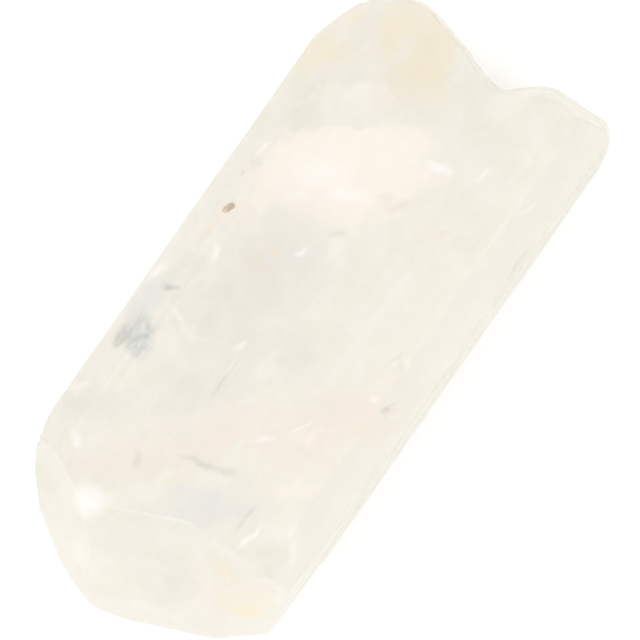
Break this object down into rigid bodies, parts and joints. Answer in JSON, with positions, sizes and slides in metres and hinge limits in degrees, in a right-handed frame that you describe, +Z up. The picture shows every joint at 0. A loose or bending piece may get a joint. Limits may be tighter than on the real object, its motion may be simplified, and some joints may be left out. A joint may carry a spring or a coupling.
{
  "type": "raw danburite crystal",
  "caption": "Natural pale cream crystal: a striated flat-faced prism with a wedge-shaped glassy end and a broken, stained root end.",
  "frame": {"origin": "centre of the bounding box's bottom, on the flat prism face the crystal lies on", "axes": "+X along the crystal's c axis from the broken root end towards the wedge-shaped termination, +Z up out of the broad top prism face, +Y across"},
  "size_m": [0.0384, 0.0172, 0.0121],
  "materials": {
    "danburite": "milky translucent natural crystal, glossy growth faces with fine lengthwise striation, iron-stained broken end"
  },
  "bodies": {
    "root": {"danburite_crystal": "danburite"}
  },
  "joints": []
}
